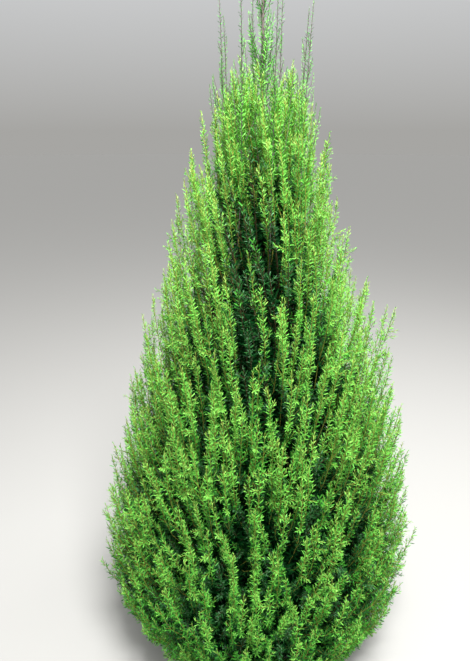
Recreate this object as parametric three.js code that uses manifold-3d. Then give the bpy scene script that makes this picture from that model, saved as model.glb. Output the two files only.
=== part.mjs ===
// Pyramidal yew: a whole conifer rooted in the ground, as a trunk, its boughs and the masses of needles that
// they carry. Millimetres, +Z up. The origin is the centre of the trunk's flat cut at ground level, and the
// front faces -Y.
//
// Everything in the crown follows growth lines. A growth line leaves the trunk at a height that its label
// sets, runs outwards, turns up a little more sharply than a quarter of an ellipse, and ends on the crown's
// outline. Label 0 is the lowest line and label 1 the highest. A mass keeps to its own range of labels and
// azimuths, so two masses never meet.
import * as THREE from "three";
import { mergeVertices } from "three/addons/utils/BufferGeometryUtils.js";
import Module from "manifold-3d";

const wasm = await Module();
wasm.setup();

// Trunk
const HEIGHT = 2060;
const TRUNK_SIDES = 10;
const TRUNK_STEPS = 13;
const STEP_CROWDING = 1.5; // above 1, the steps are shorter near the ground, where the flare is
const TRUNK_RADIUS = 25;
const TRUNK_TIP_RADIUS = 1.6;
const TRUNK_TAPER = 0.85;
const FLARE_WIDTH = 20;
const FLARE_HEIGHT = 60;
const FLARE_LOBES = 5;
const FLARE_LOBE_DEPTH = 0.22;
const SWAY = { across: 14, along: 9, waves: 0.62 };

// Crown: the radius that the shoot tips reach, as [height, radius] from the ground up
const CROWN_OUTLINE = [
  [170, 462],
  [350, 522],
  [700, 450],
  [1100, 342],
  [1250, 264],
  [1400, 208],
  [1560, 180],
  [1740, 86],
];
const LOWEST_TIP = 170;
const HIGHEST_TIP = 1740;
const LOWEST_BASE = 30;
const HIGHEST_BASE = 1370;
const BASE_CROWDING = 1.4; // above 1, the lines start closer together low on the trunk
const FINAL_TURN = THREE.MathUtils.degToRad(75);
const SWIRL = THREE.MathUtils.degToRad(14); // how far a line swings round the trunk on its way out
const OUT_POWER = 0.65; // below 1, a line runs out sooner than a quarter of an ellipse does
const UP_POWER = 1.2; // above 1, it rises later
// How far the crown leans to the right at the height where a line ends, as [height, shift]
const CROWN_LEAN = [
  [700, 0],
  [1080, 18],
  [1250, -6],
  [1400, -26],
  [1560, -12],
  [1740, 0],
];

// Tiers of masses, from the ground up: the labels that they fill, how many masses stand round the trunk, the
// sprays of each, and the radius of its bough
const TIERS = [
  { name: "skirt", from: 0, to: 0.15, masses: 7, sprays: 11, bough: 8 },
  { name: "lower", from: 0.15, to: 0.34, masses: 7, sprays: 12, bough: 9 },
  { name: "middle", from: 0.34, to: 0.55, masses: 5, sprays: 17, bough: 8 },
  { name: "upper", from: 0.55, to: 0.77, masses: 5, sprays: 13, bough: 6.5 },
  { name: "top", from: 0.77, to: 1, masses: 4, sprays: 11, bough: 0, leaders: 2 },
];
const TIER_STAGGER = THREE.MathUtils.degToRad(17);

// Where things lie along a growth line, as shares of its length from the trunk's axis to the outline
const BOUGH_END = 0.21;
const CORE_FROM = 0.26;
const CORE_TO = 0.64;
const SPRAY_ROOT = 0.5;

const BOUGH_SIDES = 5;
const BOUGH_STEPS = 3;
const BOUGH_TAPER = 0.62;
const STEM_STEPS = 2;
const STEM_RADIUS = 4; // of a stem that starts at the trunk itself
const STEM_TAPER = 0.4;
const CLEARANCE = 0.3;
const LEAST_HEIGHT = 2; // no foliage comes nearer to the ground

// The core of a mass: a rounded, lumpy block
const CORE_LABELS = 0.97; // share of the mass's labels that it fills
const CORE_AZIMUTHS = 0.985; // share of the mass's azimuths that it fills
const CORE_ROUNDING = 0.05; // 0 is a sharp block and 1 a ball
const CORE_LUMPS = 0.35; // how much less far out some of its corners reach than others

// A spray of needles: a three-sided toothed blade, as [radius, share of length] from root to tip
const SPRAY_FILL = 0.95; // share of the mass's labels and azimuths that the sprays' tips spread over
const ROOT_SPREAD = 0.84; // share of that spread at the sprays' roots
const SPRAY_WIDTH = 39;
const SPRAY_SIZES = [0.8, 1.1];
const TOP_SPRAY_SIZE = 0.72; // in the highest tier, beside the lowest
const SPRAY_THICKNESS = 0.42;
const SPRAY_PROFILE = [
  [0, 0],
  [1, 0.5],
  [0.42, 0.46],
  [0.78, 0.8],
  [0, 1],
];
const SPRAY_TWIST = 0.9;
const SPRAY_LEAN = 0.05;
const SPRAY_REACH = [0.92, 1.03];

// Leader shoots: the slender stems, toothed with short needles, that rise out of the crown's top
const LEADER = { radius: 10, teeth: 6, stem: 0.4, tipRadius: 118, tipHeight: 1925, tipRange: 120 };
const LEADER_REACH = [0.85, 1.08];
const LEADER_KNEE = { radius: 0.78, rise: 150 };

// Rings of shoots round the trunk's tip, each shoot a mass of its own
const RINGS = [
  { name: "leader_foliage", height: 1690, shoots: 3, reach: 26, top: 1840, step: 22, width: 14, teeth: 4 },
  { name: "whorl_shoot", height: 1858, shoots: 4, reach: 46, top: 2010, step: 7, width: 11, teeth: 4 },
];
const RING = { turn: 0.5, unevenness: 0.3, tipDrop: 40 };
const RING_KNEE = { reach: 0.8, height: 0.3 };
const RING_BLADE = { depth: 0.45, twist: 0.3 };
const RING_STEM = { radius: 2, length: 0.4 };

const BARK = new THREE.MeshStandardMaterial({ color: 0x6b4a35, roughness: 0.9, metalness: 0 });
const NEEDLES = new THREE.MeshStandardMaterial({ color: 0x3f8a1e, roughness: 0.6, metalness: 0 });
const YOUNG_NEEDLES = new THREE.MeshStandardMaterial({ color: 0x5fa92c, roughness: 0.6, metalness: 0 });

// The same number from 0 to 1 each time for one index and salt.
function seeded(index, salt) {
  const value = Math.sin(index * 127.1 + salt * 311.7) * 43758.5453;
  return value - Math.floor(value);
}

// Point number k of a sequence that fills a unit square evenly, however many points are taken.
function evenPoint(k) {
  return [(0.5 + k * 0.7548776662466927) % 1, (0.5 + k * 0.5698402909980532) % 1];
}

function mix(a, b, share) {
  return a + (b - a) * share;
}

// The value that a list of [height, value] gives at a height. The end values hold beyond both ends.
function atHeight(list, height) {
  const above = list.findIndex(([z]) => z >= height);
  if (above === 0) return list[0][1];
  if (above < 0) return list.at(-1)[1];
  const [lowZ, low] = list[above - 1];
  const [highZ, high] = list[above];
  return mix(low, high, (height - lowZ) / (highZ - lowZ));
}

function trunkCentre(height) {
  const rise = height / HEIGHT;
  const swing = Math.sin(rise * Math.PI * 2 * SWAY.waves) * rise;
  return new THREE.Vector3(SWAY.across * swing, SWAY.along * swing, height);
}

function trunkRadius(height) {
  const taper = mix(TRUNK_RADIUS, TRUNK_TIP_RADIUS, (height / HEIGHT) ** TRUNK_TAPER);
  return taper + FLARE_WIDTH * Math.exp((-2 * height) / FLARE_HEIGHT);
}

function baseHeight(label) {
  return mix(LOWEST_BASE, HIGHEST_BASE, label ** BASE_CROWDING);
}

function tipHeight(label) {
  return mix(LOWEST_TIP, HIGHEST_TIP, label);
}

// A point on a growth line: share 0 is on the trunk's axis and share 1 on the crown's outline.
function growthPoint(label, azimuth, share) {
  const turn = Math.max(share, 0) * FINAL_TURN;
  const end = tipHeight(label);
  const out = atHeight(CROWN_OUTLINE, end) * (Math.sin(turn) / Math.sin(FINAL_TURN)) ** OUT_POWER;
  const up = ((1 - Math.cos(turn)) / (1 - Math.cos(FINAL_TURN))) ** UP_POWER;
  const around = azimuth + SWIRL * share;
  const base = trunkCentre(baseHeight(label));
  return new THREE.Vector3(
    base.x + out * Math.cos(around) + atHeight(CROWN_LEAN, end) * up,
    base.y + out * Math.sin(around),
    mix(base.z, end, up),
  );
}

// Turns geometry whose Y runs from 0 to 1 so that it follows a line, with its X across and its Z outwards.
function follow(geometry, line, twist = 0) {
  const position = geometry.attributes.position;
  const step = 1e-3;
  for (let i = 0; i < position.count; i++) {
    const share = position.getY(i);
    const centre = line(share);
    const tangent = line(share + step).sub(line(share - step)).normalize();
    const outwards = new THREE.Vector3(centre.x, centre.y, 0);
    const across = new THREE.Vector3().crossVectors(tangent, outwards).normalize();
    across.applyAxisAngle(tangent, twist);
    const normal = new THREE.Vector3().crossVectors(across, tangent);
    centre.addScaledVector(across, position.getX(i)).addScaledVector(normal, position.getZ(i));
    position.setXYZ(i, centre.x, centre.y, centre.z);
  }
  return geometry;
}

// A closed mesh as a solid, without the collapsed faces that round geometry has at its poles.
function solidOf(geometry) {
  const bare = geometry.clone();
  bare.deleteAttribute("normal");
  bare.deleteAttribute("uv");
  const merged = mergeVertices(bare, 1e-3);
  const corners = merged.index.array;
  const kept = [];
  for (let i = 0; i < corners.length; i += 3) {
    const [a, b, c] = corners.slice(i, i + 3);
    if (a !== b && b !== c && c !== a) kept.push(a, b, c);
  }
  const vertProperties = merged.attributes.position.array;
  return new wasm.Manifold(new wasm.Mesh({ numProp: 3, vertProperties, triVerts: new Uint32Array(kept) }));
}

function geometryOf(solid) {
  const { vertProperties, triVerts } = solid.getMesh();
  const geometry = new THREE.BufferGeometry();
  geometry.setAttribute("position", new THREE.BufferAttribute(vertProperties, 3));
  geometry.setIndex(new THREE.BufferAttribute(triVerts, 1));
  const flat = geometry.toNonIndexed();
  flat.computeVertexNormals();
  return flat;
}

// A limb with flat ends along a line, its radius given at each share of the length.
function limb(line, radiusAt, sides, steps) {
  const geometry = new THREE.CylinderGeometry(1, 1, 1, sides, steps).translate(0, 0.5, 0);
  const position = geometry.attributes.position;
  for (let i = 0; i < position.count; i++) {
    const radius = radiusAt(position.getY(i));
    position.setX(i, position.getX(i) * radius);
    position.setZ(i, position.getZ(i) * radius);
  }
  return solidOf(follow(geometry, line));
}

// The trunk as one tapering solid with a lobed root flare. With extra thickness it is the tool that cuts
// pieces clear of the trunk.
function trunkSolid(extra) {
  const geometry = new THREE.CylinderGeometry(1, 1, 1, TRUNK_SIDES, TRUNK_STEPS).translate(0, 0.5, 0);
  const position = geometry.attributes.position;
  for (let i = 0; i < position.count; i++) {
    const height = HEIGHT * position.getY(i) ** STEP_CROWDING;
    const around = Math.atan2(position.getZ(i), position.getX(i));
    const lobes = 1 + FLARE_LOBE_DEPTH * Math.cos(around * FLARE_LOBES) * Math.exp(-height / FLARE_HEIGHT);
    const radius = (trunkRadius(height) * lobes + extra) * Math.hypot(position.getX(i), position.getZ(i));
    const centre = trunkCentre(height);
    position.setXYZ(i, centre.x + radius * Math.cos(around), centre.y - radius * Math.sin(around), height);
  }
  return solidOf(geometry);
}

// The core of a mass: a block with its corners drawn in, bent into the middle of the mass's cell.
function coreSolid(cell) {
  const geometry = new THREE.BoxGeometry(2, 2, 2, 3, 2, 1);
  const position = geometry.attributes.position;
  const middle = (CORE_FROM + CORE_TO) / 2;
  const ball = (b, c) => Math.sqrt(1 - (b * b + c * c) / 2 + (b * b * c * c) / 3);
  const drawnIn = (a, b, c) => a * mix(1, ball(b, c), CORE_ROUNDING);
  for (let i = 0; i < position.count; i++) {
    const [x, y, z] = [position.getX(i), position.getY(i), position.getZ(i)];
    const corner = Math.round(3 * x + 1) + 10 * Math.round(y + 1) + 100 * Math.round(z + 1);
    const reach = 1 - CORE_LUMPS * seeded(corner, cell.seed);
    const point = growthPoint(
      cell.label + drawnIn(y, x, z) * CORE_LABELS * cell.halfLabel,
      cell.azimuth + drawnIn(x, y, z) * CORE_AZIMUTHS * cell.halfAzimuth,
      middle + drawnIn(z, x, y) * reach * (CORE_TO - middle),
    );
    position.setXYZ(i, point.x, point.y, point.z);
  }
  return solidOf(geometry);
}

// One spray of needles, from its root inside the core to its tip near the crown's outline.
function spraySolid(cell, k) {
  const [u, v] = evenPoint(k);
  const along = (2 * u - 1) * SPRAY_FILL;
  const round = (2 * v - 1) * SPRAY_FILL;
  const tip = mix(...SPRAY_REACH, seeded(k, cell.seed));
  const lean = SPRAY_LEAN * seeded(k, cell.seed + 1);
  const line = (share) => {
    const spread = mix(ROOT_SPREAD, 1, share);
    const label = cell.label + along * spread * cell.halfLabel;
    const azimuth = cell.azimuth + round * spread * cell.halfAzimuth;
    const point = growthPoint(label, azimuth, mix(SPRAY_ROOT, tip, share));
    const push = 1 + lean * share * share;
    return point.set(point.x * push, point.y * push, point.z);
  };
  const size = SPRAY_WIDTH * mix(...SPRAY_SIZES, seeded(k, cell.seed + 2)) * cell.spraySize;
  return toothedSolid(SPRAY_PROFILE, size, line, SPRAY_TWIST * (seeded(k, cell.seed + 3) - 0.5));
}

function toothedSolid(profile, radius, line, twist) {
  const outline = profile.map(([width, share]) => new THREE.Vector2(width * radius, share));
  const geometry = new THREE.LatheGeometry(outline, 3).scale(1, 1, SPRAY_THICKNESS);
  return solidOf(follow(geometry, line, twist));
}

// The outline of a long slender shoot with several whorls of forward-pointing needles, narrower near the tip.
function shootProfile(teeth, depth) {
  const profile = [[0, 0]];
  for (let i = 1; i <= teeth; i++) {
    const share = i / (teeth + 0.6);
    const width = mix(1, 0.55, share);
    profile.push([width, share]);
    if (i < teeth) profile.push([depth * width, share - 0.02]);
  }
  profile.push([0, 1]);
  return profile;
}

// A leader shoot of a top mass, which stands clear above the crown.
function leaderSolid(cell, k, count) {
  const azimuth = cell.azimuth + cell.halfAzimuth * SPRAY_FILL * ((2 * k + 1) / count - 1);
  const around = azimuth + SWIRL;
  const out = new THREE.Vector3(Math.cos(around), Math.sin(around), 0);
  const tipRadius = LEADER.tipRadius * mix(...LEADER_REACH, seeded(k, cell.seed + 5));
  const tipHeight = LEADER.tipHeight + LEADER.tipRange * (seeded(k, cell.seed + 6) - 0.5);
  const root = growthPoint(cell.label, azimuth, SPRAY_ROOT);
  const knee = out.clone().multiplyScalar(tipRadius * LEADER_KNEE.radius).setZ(root.z + LEADER_KNEE.rise);
  const tip = out.clone().multiplyScalar(tipRadius).setZ(tipHeight);
  const curve = new THREE.QuadraticBezierCurve3(root, knee, tip);
  const profile = shootProfile(LEADER.teeth, LEADER.stem);
  return toothedSolid(profile, LEADER.radius, (share) => curveAt(curve, share), 0);
}

// A curve's point, carried straight on past both of its ends.
function curveAt(curve, share) {
  const inside = THREE.MathUtils.clamp(share, 0, 1);
  const point = curve.getPoint(inside);
  return point.addScaledVector(curve.getTangent(inside), (share - inside) * curve.getLength());
}

// Where a mass lives: the middle and half width of its labels and azimuths.
function cellOf(tier, tierIndex, massIndex) {
  const step = (2 * Math.PI) / tier.masses;
  return {
    label: (tier.from + tier.to) / 2,
    halfLabel: (tier.to - tier.from) / 2,
    azimuth: step * massIndex + TIER_STAGGER * tierIndex,
    halfAzimuth: step / 2,
    seed: 100 * tierIndex + 10 * massIndex,
    spraySize: mix(1, TOP_SPRAY_SIZE, tierIndex / (TIERS.length - 1)),
  };
}

// Pieces that other pieces have to keep clear of, with their owners' names.
const placed = [];

function place(owner, solid) {
  placed.push({ owner, solid, box: solid.boundingBox() });
}

function boxesMeet(a, b) {
  return [0, 1, 2].every((i) => a.min[i] - CLEARANCE < b.max[i] && b.min[i] - CLEARANCE < a.max[i]);
}

// True if the solid stays above the ground and clear of everything that other nodes have placed.
function fits(owner, solid) {
  const box = solid.boundingBox();
  if (box.min[2] < LEAST_HEIGHT) return false;
  const nearlyClear = 0.9 * CLEARANCE; // a cut piece lies exactly one clearance away, give or take rounding
  return placed.every(
    (other) =>
      other.owner === owner ||
      !boxesMeet(box, other.box) ||
      solid.minGap(other.solid, 2 * CLEARANCE) > nearlyClear,
  );
}

// The pieces of a mass as one solid, without any scrap that came loose.
function fuse(solids) {
  const bodies = wasm.Manifold.union(solids).decompose();
  return bodies.reduce((largest, body) => (body.volume() > largest.volume() ? body : largest));
}

const tree = new THREE.Group();

function addNode(name, solid, material) {
  const mesh = new THREE.Mesh(geometryOf(solid), material);
  mesh.name = name;
  tree.add(mesh);
}

const trunk = trunkSolid(0);
const trunkCutter = trunkSolid(CLEARANCE);
place("trunk", trunk);
addNode("trunk", trunk, BARK);

// The bough that carries a mass, from the trunk's surface to where it enters the mass.
function boughSolid(tier, line) {
  const boughLine = (share) => line(share * BOUGH_END);
  const radiusAt = (share) => tier.bough * mix(1, BOUGH_TAPER, share);
  return fuse([limb(boughLine, radiusAt, BOUGH_SIDES, BOUGH_STEPS).subtract(trunkCutter)]);
}

// The stem that runs on from the bough's tip, or from the trunk, into the middle of the core.
function stemSolid(tier, line) {
  const step = 0.01;
  const lengthPerShare = line(BOUGH_END + step).distanceTo(line(BOUGH_END)) / step;
  const start = tier.bough ? BOUGH_END + CLEARANCE / lengthPerShare : 0;
  const radius = tier.bough ? tier.bough * BOUGH_TAPER : STEM_RADIUS;
  const stemLine = (share) => line(mix(start, (CORE_FROM + CORE_TO) / 2, share));
  const radiusAt = (share) => radius * mix(1, STEM_TAPER, share);
  return limb(stemLine, radiusAt, BOUGH_SIDES, STEM_STEPS).subtract(trunkCutter);
}

// Boughs, stems and cores first, so that every spray afterwards can keep clear of all of them
const masses = [];
TIERS.forEach((tier, tierIndex) => {
  for (let i = 0; i < tier.masses; i++) {
    const cell = cellOf(tier, tierIndex, i);
    const line = (share) => growthPoint(cell.label, cell.azimuth, share);
    if (tier.bough) {
      const boughName = `${tier.name}_bough_${i + 1}`;
      const bough = boughSolid(tier, line);
      place(boughName, bough);
      addNode(boughName, bough, BARK);
    }
    const name = `${tier.name}_mass_${i + 1}`;
    const body = fuse([stemSolid(tier, line), coreSolid(cell)]);
    place(name, body);
    masses.push({ name, tier, cell, body });
  }
});

for (const { name, tier, cell, body } of masses) {
  const shoots = Array.from({ length: tier.sprays }, (_, k) => spraySolid(cell, k));
  for (let k = 0; k < (tier.leaders || 0); k++) shoots.push(leaderSolid(cell, k, tier.leaders));
  const mass = fuse([body, ...shoots.filter((shoot) => fits(name, shoot))]);
  place(name, mass);
  addNode(name, mass, tier.leaders ? YOUNG_NEEDLES : NEEDLES);
}

for (const ring of RINGS) {
  for (let i = 0; i < ring.shoots; i++) {
    const unevenness = RING.unevenness * seeded(i, ring.height);
    const azimuth = (2 * Math.PI * (i + unevenness)) / ring.shoots + RING.turn;
    const out = new THREE.Vector3(Math.cos(azimuth), Math.sin(azimuth), 0).multiplyScalar(ring.reach);
    const root = trunkCentre(ring.height + i * ring.step);
    const kneeHeight = mix(ring.height, ring.top, RING_KNEE.height);
    const knee = root.clone().addScaledVector(out, RING_KNEE.reach).setZ(kneeHeight);
    const tip = trunkCentre(ring.top - RING.tipDrop * seeded(i, ring.top)).add(out);
    const curve = new THREE.QuadraticBezierCurve3(root, knee, tip);
    const line = (share) => curveAt(curve, share);
    const profile = shootProfile(ring.teeth, RING_BLADE.depth);
    const blade = toothedSolid(profile, ring.width, line, RING_BLADE.twist);
    const stemLine = (share) => line(share * RING_STEM.length);
    const stem = limb(stemLine, () => RING_STEM.radius, BOUGH_SIDES, STEM_STEPS);
    const name = `${ring.name}_${i + 1}`;
    const shoot = fuse([wasm.Manifold.union([blade, stem]).subtract(trunkCutter)]);
    if (fits(name, shoot)) {
      place(name, shoot);
      addNode(name, shoot, YOUNG_NEEDLES);
    }
  }
}

export default tree;
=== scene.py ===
"""Pyramidal yew: bark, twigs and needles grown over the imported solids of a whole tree.

Metres, +Z up, front towards -Y. Every shoot follows the growth lines that the solids follow: a line leaves
the trunk at a height that its label sets, runs outwards, turns up a little more sharply than a quarter of an
ellipse, and ends on the crown's outline.
"""

import math

import bpy
import numpy as np
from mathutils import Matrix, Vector, noise


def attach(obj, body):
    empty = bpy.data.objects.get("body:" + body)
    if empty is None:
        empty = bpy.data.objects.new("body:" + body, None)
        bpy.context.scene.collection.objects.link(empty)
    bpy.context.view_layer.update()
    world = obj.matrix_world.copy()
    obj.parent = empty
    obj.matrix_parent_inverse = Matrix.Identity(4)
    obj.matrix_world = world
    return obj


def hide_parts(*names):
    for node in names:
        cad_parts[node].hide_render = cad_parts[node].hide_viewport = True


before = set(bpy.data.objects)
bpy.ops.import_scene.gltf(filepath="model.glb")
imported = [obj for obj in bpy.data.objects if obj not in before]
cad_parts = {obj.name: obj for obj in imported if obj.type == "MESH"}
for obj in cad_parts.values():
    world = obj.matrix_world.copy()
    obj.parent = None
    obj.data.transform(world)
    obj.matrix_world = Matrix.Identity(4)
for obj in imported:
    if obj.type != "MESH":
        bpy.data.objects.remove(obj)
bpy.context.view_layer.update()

bl_info = {
    "name": "Pyramidal yew",
    "version": (1, 0, 0),
    "blender": (4, 5, 0),
    "location": "3D View > Sidebar > Yew",
    "description": "Bark, twigs and needles of a pyramidal yew, grown over its frame",
    "category": "Object",
}

# Trunk
HEIGHT = 2.06
TRUNK_RADIUS = 0.025
TRUNK_TIP_RADIUS = 0.0016
TRUNK_TAPER = 0.85
FLARE_WIDTH = 0.02
FLARE_HEIGHT = 0.06
FLARE_LOBES = 5
FLARE_LOBE_DEPTH = 0.22
SWAY_ACROSS = 0.014
SWAY_ALONG = 0.009
SWAY_WAVES = 0.62

# Crown: the radius that the shoot tips reach, by height, and how far the crown leans to the right there
OUTLINE_HEIGHTS = [0.17, 0.35, 0.7, 1.1, 1.25, 1.4, 1.56, 1.65, 1.74]
OUTLINE_RADII = [0.462, 0.522, 0.45, 0.342, 0.264, 0.208, 0.178, 0.116, 0.066]
LEAN_HEIGHTS = [0.7, 1.08, 1.25, 1.4, 1.56, 1.65, 1.74]
LEANS = [0.0, 0.018, -0.006, -0.026, -0.014, -0.014, -0.004]

# Growth lines: the heights at which the lowest and the highest end and leave the trunk, and how they bend
LOWEST_TIP = 0.17
HIGHEST_TIP = 1.74
LOWEST_BASE = 0.03
HIGHEST_BASE = 1.37
BASE_CROWDING = 1.4
FINAL_TURN = math.radians(75)
OUT_POWER = 0.65
UP_POWER = 1.2
SWIRL = math.radians(14)
TIER_STAGGER = math.radians(17)

# Tiers of masses, from the ground up: the labels that they fill, how many masses stand round the trunk, and
# the radius of the bough of each
TIERS = [
    {"name": "skirt", "from": 0.0, "to": 0.15, "masses": 7, "bough": 0.008},
    {"name": "lower", "from": 0.15, "to": 0.34, "masses": 7, "bough": 0.009},
    {"name": "middle", "from": 0.34, "to": 0.55, "masses": 5, "bough": 0.008},
    {"name": "upper", "from": 0.55, "to": 0.77, "masses": 5, "bough": 0.0065},
    {"name": "top", "from": 0.77, "to": 1.0, "masses": 4, "bough": 0.0},
]
LEADERS_PER_TOP_MASS = 2

# How crowded the long shoots and the inner shoots of each tier are, how far the inner shoots reach below the
# lowest long ones, as a share of the mass, how strongly the shoots crowd towards its upper edge, the share of
# the inner shoots that end in green needles, and how long the branches' twigs are
CROWDING = {
    "skirt": {"long": 1.05, "inner": 1.6, "sink": 0.7, "peak": 1.0, "green": 1.0, "twigs": 0.65},
    "lower": {"long": 1.1, "inner": 1.2, "sink": 0.0, "peak": 1.0, "green": 0.4, "twigs": 1.0},
    "middle": {"long": 1.15, "inner": 1.2, "sink": 0.0, "peak": 1.0, "green": 0.4, "twigs": 1.0},
    "upper": {"long": 1.15, "inner": 1.35, "sink": 0.0, "peak": 1.0, "green": 0.4, "twigs": 1.0},
    "top": {"long": 1.9, "inner": 1.1, "sink": 0.0, "peak": 1.7, "green": 0.4, "twigs": 1.0},
}

# How far the last part of a shoot bends back against the swirl
SWIRL_RECOVERY = 0.045

# The lowest that a shoot's stem comes to the ground, the height below which the shaded shoots stay small and
# green, and the heights between which shoots grow more vigorous and their needles go from painted shade,
# darker low down, to painted light, lighter high up
GROUND_CLEARANCE = 0.034
LOW_HEIGHT = 0.27
VIGOUR_AND_PAINTED_LIGHT_HEIGHTS = (0.35, 1.45)

# Where things lie along a growth line, as shares of its length from the trunk's axis to the outline
TRUNK_SURFACE = 0.03
TOP_START = 0.02
BOUGH_END = 0.21
BRANCH_END = 0.4
SHOOT_SETTLED = 0.66
LEADER_ROOT = 0.5
LONG_REACH = (1.045, 0.86)
INNER_REACH = (0.5, 0.84)

# How much of a mass its branches, long shoots and inner shoots fill
BRANCH_SPREAD = 0.85
CELL_FILL = 0.95
INNER_FILL = 1.08

# Branches: their number and thickness, and how many twigs each kind has
LEAST_BRANCHES = 3
SHOOTS_PER_BRANCH = 4
BOUGH_TAPER = 0.62
BRANCH_THINNING = 0.75
TOP_BRANCH_RADIUS = 0.004
SEAM_BRANCH_RADIUS = 0.003
BRANCH_TIP_RADIUS = 0.0024
BRANCH_TWIGS = 5
BOUGH_TWIGS = 13
SEAM_TWIGS = 10
HEART_TWIGS = 90
HEART_ROOM = 1.5

# How sparse the needles of each place are, as a multiple of the needle spacing
TWIG_SPARSENESS = 2.0
BRANCH_SPARSENESS = 2.3
GREEN_SPARSENESS = 1.2
SHADE_SPARSENESS = 1.3
OLD_PAINTED_SHADE_SPARSENESS = 2.0
SIDE_SPARSENESS = 1.1
INNER_OLD_PAINTED_SHADE_SPARSENESS = 1.8
INNER_SIDE_OLD_PAINTED_SHADE_SPARSENESS = 1.9
GLINT_SPARSENESS = 2.7

# Twigs lose this share of their length towards the top of the crown
ROOM_LOST = 0.55

# Needles deep in the crown: their size in full-grown needles, the room that they need beyond the twigs', and
# how far they splay. They are old needles, near-black and larger than life, that paint the shade inside the
# crown
DEEP_SIZE = 1.8
DEEP_ROOM = 0.25
DEEP_SPLAY = math.radians(68)

# How far the tips of shoots lean outwards and sideways, and how much less the low ones lean out
LEAN_OUT = (-0.02, 0.016)
LEAN_ACROSS = (-0.022, 0.022)
LOW_LEAN = 0.02

# How each kind of shoot grows. Size and splay are its needles': the value at the shoot's tip, the value
# further in, and the distance over which one turns into the other. Radii are its stem's, at root and tip. A
# side shoot has a range of lengths, the degrees that it leans from its parent, and its rise to upright.
SHOOTS = {
    "twig": {"radii": (0.0014, 0.0008), "length": (0.08, 0.17), "lean": 50, "rise": 0.8},
    "long": {"size": (0.6, 1.0, 0.04), "splay": (26, 54, 0.045), "radii": (0.0014, 0.0007)},
    "side": {"size": (0.6, 0.95, 0.03), "splay": (28, 54, 0.03), "radii": (0.0009, 0.0006)},
    "spray": {
        "size": (0.5, 0.8, 0.02), "splay": (28, 54, 0.02), "radii": (0.0008, 0.0006),
        "length": (0.02, 0.045), "lean": 68, "rise": 0.35,
    },
    "inner": {"size": (0.8, 1.05, 0.05), "splay": (40, 66, 0.06), "radii": (0.0018, 0.0009)},
    "inner side": {"radii": (0.001, 0.0006), "length": (0.03, 0.08), "lean": 55, "rise": 0.6},
    "leader": {"size": (0.4, 1.0, 0.09), "splay": (20, 52, 0.05)},
    "leader side": {"radii": (0.0012, 0.0007), "length": (0.55, 0.95), "lean": 30, "rise": 1.0},
}

# What changes on a long shoot from no vigour to full vigour. The first four say how likely it is strong, and
# how likely a strong one is fresh, a weak one green, and a strong one pale at its tip. These and the share of
# darker needles are partly growth and partly painted light and shade: darker low down, lighter high up.
VIGOUR_AND_PAINTED_LIGHT_HABIT = {
    "strong": (0.5, 0.9),
    "fresh": (0.2, 0.85),
    "green": (0.7, 0.3),
    "tip": (0.4, 1.0),
    "stretch": (0.85, 1.2),
    "size": (0.95, 0.8),
    "sparseness": (1.45, 0.9),
    "darker": (0.31, 0.08),
}

# How long the parts of each tone are on a long shoot, and how much shorter the bright part of a weak one is
TIP_PART = (0.014, 0.03)
BRIGHT_PART = (0.12, 0.23)
GREEN_PART = (0.05, 0.09)
SHADE_PART = 0.06
WEAK_STRETCH = 0.6
# The size of the near-black old needles at a long shoot's foot, which are painted shade
OLD_PAINTED_SHADE_SIZE = 1.5

# Side shoots of a long shoot: the least number, how many more there may be, how far down they stand, in
# metres and as a share of the shoot, and how they grow. Those near the tip are fresh.
SIDE_SHOOTS = 6
MORE_SIDE_SHOOTS = 3
SIDE_SHOOTS_FROM = 0.03
SIDE_SHOOTS_TO = (0.27, 0.85)
SIDE_LENGTH = (0.03, 0.06)
SIDE_GROWTH = (0.12, 0.45)
SIDE_LEAN = (28, 50)
SIDE_TIP = 0.012
SIDE_MIDDLE = 0.6
FRESH_SHARE = 0.4

# Sprays of a long shoot: how many there may be, how likely each is, where they stand, and which way they turn
SPRAYS = 3
SPRAY_CHANCE = 0.5
SPRAYS_FROM_TO = (0.05, 0.2)
SPRAY_TURN = (45, 135)

# Inner shoots: how long the green tip and the parts of each tone are, and where their side shoots stand
INNER_TIP = (0.02, 0.06)
INNER_SHADE_PART = 0.07
GLINT_PART = 0.12
GLINT_SIZE = 0.7
INNER_SIDE_SHOOTS = 5
INNER_SIDES_FROM_TO = (0.02, 0.22)
SHADED_SIDE_CHANCE = 0.4
LOW_SIDE_LENGTH = 0.6
LOW_SIDE_TIP = 0.015

# The height on the trunk above which the wood is young and smooth, and how quickly the bark ends there
YOUNG_WOOD_HEIGHT = 1.45
YOUNG_WOOD_FADE = 5.0

# How many bark scales, grains and patches there are to a metre. The scales are drawn out along the limb.
BARK_SCALES = 95
BARK_SCALES_ALONG = 22
BARK_GRAINS = 240
BARK_PATCHES = 14
BARK_DRAW = 0.28
BARK_BUMP = 0.0012
PALE_RIDGE = 1.5

# Leader shoots and the rings of shoots round the trunk's tip
LEADER_RADIUS = 0.118
LEADER_HEIGHT = 1.925
LEADER_RANGE = 0.12
LEADER_REACH = (0.85, 1.08)
LEADER_KNEE_RADIUS = 0.78
LEADER_KNEE_RISE = 0.15
BUSHY_HEIGHT = 1.72
MIDDLE_BUSHY_HEIGHT = 1.84
RINGS = [
    {"height": 1.69, "shoots": 3, "reach": 0.026, "top": 1.84, "step": 0.022},
    {"height": 1.858, "shoots": 4, "reach": 0.046, "top": 2.01, "step": 0.007},
]
RING_TURN = 0.5
RING_UNEVENNESS = 0.3
RING_TIP_DROP = 0.04
RING_KNEE_REACH = 0.8
RING_KNEE_HEIGHT = 0.3
LEADER_TIP_RADIUS = 0.0009
LEADER_TIP_PART = 0.014
LEADER_FULL_PART = 0.25
LEADER_FULL_WITHIN = 0.06
LEADER_SIDES_FROM_TO = (-0.07, 0.24)
LEADER_SIDE_LEAST = 0.05
LEADER_TIP_SPARSENESS = 1.3
LEADER_SPARSENESS = 1.1
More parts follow.
